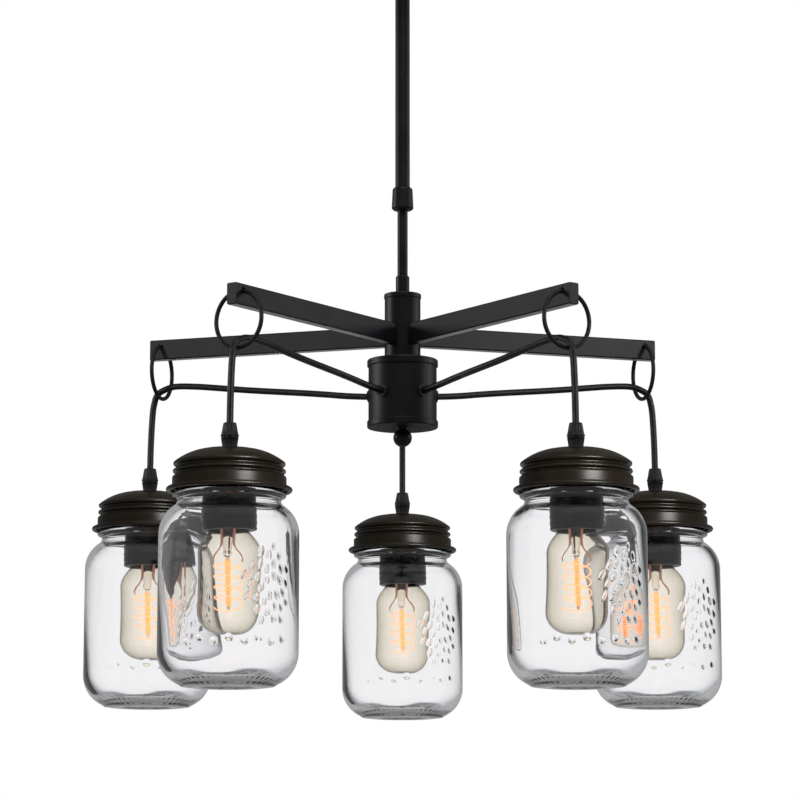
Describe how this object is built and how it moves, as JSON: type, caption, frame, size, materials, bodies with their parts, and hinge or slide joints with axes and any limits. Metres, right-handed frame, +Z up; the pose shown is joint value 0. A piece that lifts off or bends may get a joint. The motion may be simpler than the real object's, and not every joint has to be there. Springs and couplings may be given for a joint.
{
  "type": "five-arm jar chandelier",
  "caption": "Ceiling light with spoke arms round a hub; cords from a drum pass over rings at the arm tips and carry clear glass jars with tubular filament lamps.",
  "frame": {"origin": "centre of the mounting strap's upper face, on the ceiling plane at the stem's axis", "axes": "+Z up, -Y towards the viewer of the front, one arm pointing along +Y"},
  "size_m": [0.4994, 0.4799, 0.613],
  "materials": {
    "zinc_steel": "zinc plated",
    "black_paint": "satin black powder coat",
    "black_wire": "satin black",
    "cord_jacket": "smooth dark jacket",
    "grip_plastic": "moulded nylon",
    "plug_plastic": "moulded plug",
    "bronze_lid": "dark bronze, semi-gloss",
    "holder_plastic": "black moulded lamp holder",
    "lamp_glass": "clear, warm tinted",
    "lamp_brass": "plain brass",
    "jar_glass": "clear pressed glass"
  },
  "bodies": {
    "ceiling_mount": {"mounting_strap": "zinc_steel", "canopy_screws": "zinc_steel", "canopy": "black_paint", "canopy_nuts": "black_paint", "stem_upper": "black_paint", "stem_collar": "black_paint"},
    "frame": {"stem_lower": "black_paint", "hub_ferrule": "black_paint", "hub_cap": "black_paint", "hub_tube": "black_paint", "arms": "black_paint", "arm_end_plugs": "plug_plastic", "centre_rod": "zinc_steel", "drum_top": "black_paint", "drum_body": "black_paint", "drum_bottom": "black_paint", "cord_bushings": "grip_plastic", "finial_ball": "black_paint", "cord_runs": "cord_jacket"},
    "pendant_1": {"ring_1": "black_wire", "cord_drop_1": "cord_jacket", "cord_grip_1": "grip_plastic", "lid_1": "bronze_lid", "socket_1": "holder_plastic"},
    "lamp_1": {"bulb_glass_1": "lamp_glass", "bulb_mount_1": "lamp_brass"},
    "glass_1": {"jar_1": "jar_glass"},
    "pendant_2": {"ring_2": "black_wire", "cord_drop_2": "cord_jacket", "cord_grip_2": "grip_plastic", "lid_2": "bronze_lid", "socket_2": "holder_plastic"},
    "lamp_2": {"bulb_glass_2": "lamp_glass", "bulb_mount_2": "lamp_brass"},
    "glass_2": {"jar_2": "jar_glass"},
    "pendant_3": {"ring_3": "black_wire", "cord_drop_3": "cord_jacket", "cord_grip_3": "grip_plastic", "lid_3": "bronze_lid", "socket_3": "holder_plastic"},
    "lamp_3": {"bulb_glass_3": "lamp_glass", "bulb_mount_3": "lamp_brass"},
    "glass_3": {"jar_3": "jar_glass"},
    "pendant_4": {"ring_4": "black_wire", "cord_drop_4": "cord_jacket", "cord_grip_4": "grip_plastic", "lid_4": "bronze_lid", "socket_4": "holder_plastic"},
    "lamp_4": {"bulb_glass_4": "lamp_glass", "bulb_mount_4": "lamp_brass"},
    "glass_4": {"jar_4": "jar_glass"},
    "pendant_5": {"ring_5": "black_wire", "cord_drop_5": "cord_jacket", "cord_grip_5": "grip_plastic", "lid_5": "bronze_lid", "socket_5": "holder_plastic"},
    "lamp_5": {"bulb_glass_5": "lamp_glass", "bulb_mount_5": "lamp_brass"},
    "glass_5": {"jar_5": "jar_glass"}
  },
  "joints": [
    {"name": "stem_slide", "type": "slide", "parent": "ceiling_mount", "child": "frame", "axis": [0, 0, -1], "range_m": [-0.045, 0.08]},
    {"name": "swing_1", "type": "hinge", "parent": "frame", "child": "pendant_1", "pos_m": [-0.11815, -0.16261, -0.327], "axis": [0.809, -0.5878, 0], "range_deg": [-12, 12], "deforming": ["cord_runs"]},
    {"name": "lamp_out_1", "type": "slide", "parent": "pendant_1", "child": "lamp_1", "axis": [0, 0, -1], "range_m": [0, 0.02]},
    {"name": "jar_off_1", "type": "slide", "parent": "pendant_1", "child": "glass_1", "axis": [0, 0, -1], "range_m": [0, 0.17]},
    {"name": "swing_2", "type": "hinge", "parent": "frame", "child": "pendant_2", "pos_m": [-0.19116, 0.06211, -0.327], "axis": [-0.309, -0.9511, 0], "range_deg": [-12, 12], "deforming": ["cord_runs"]},
    {"name": "lamp_out_2", "type": "slide", "parent": "pendant_2", "child": "lamp_2", "axis": [0, 0, -1], "range_m": [0, 0.02]},
    {"name": "jar_off_2", "type": "slide", "parent": "pendant_2", "child": "glass_2", "axis": [0, 0, -1], "range_m": [0, 0.17]},
    {"name": "swing_3", "type": "hinge", "parent": "frame", "child": "pendant_3", "pos_m": [0, 0.201, -0.327], "axis": [-1, 0, 0], "range_deg": [-12, 12], "deforming": ["cord_runs"]},
    {"name": "lamp_out_3", "type": "slide", "parent": "pendant_3", "child": "lamp_3", "axis": [0, 0, -1], "range_m": [0, 0.02]},
    {"name": "jar_off_3", "type": "slide", "parent": "pendant_3", "child": "glass_3", "axis": [0, 0, -1], "range_m": [0, 0.17]},
    {"name": "swing_4", "type": "hinge", "parent": "frame", "child": "pendant_4", "pos_m": [0.19116, 0.06211, -0.327], "axis": [-0.309, 0.9511, 0], "range_deg": [-12, 12], "deforming": ["cord_runs"]},
    {"name": "lamp_out_4", "type": "slide", "parent": "pendant_4", "child": "lamp_4", "axis": [0, 0, -1], "range_m": [0, 0.02]},
    {"name": "jar_off_4", "type": "slide", "parent": "pendant_4", "child": "glass_4", "axis": [0, 0, -1], "range_m": [0, 0.17]},
    {"name": "swing_5", "type": "hinge", "parent": "frame", "child": "pendant_5", "pos_m": [0.11815, -0.16261, -0.327], "axis": [0.809, 0.5878, 0], "range_deg": [-12, 12], "deforming": ["cord_runs"]},
    {"name": "lamp_out_5", "type": "slide", "parent": "pendant_5", "child": "lamp_5", "axis": [0, 0, -1], "range_m": [0, 0.02]},
    {"name": "jar_off_5", "type": "slide", "parent": "pendant_5", "child": "glass_5", "axis": [0, 0, -1], "range_m": [0, 0.17]}
  ]
}
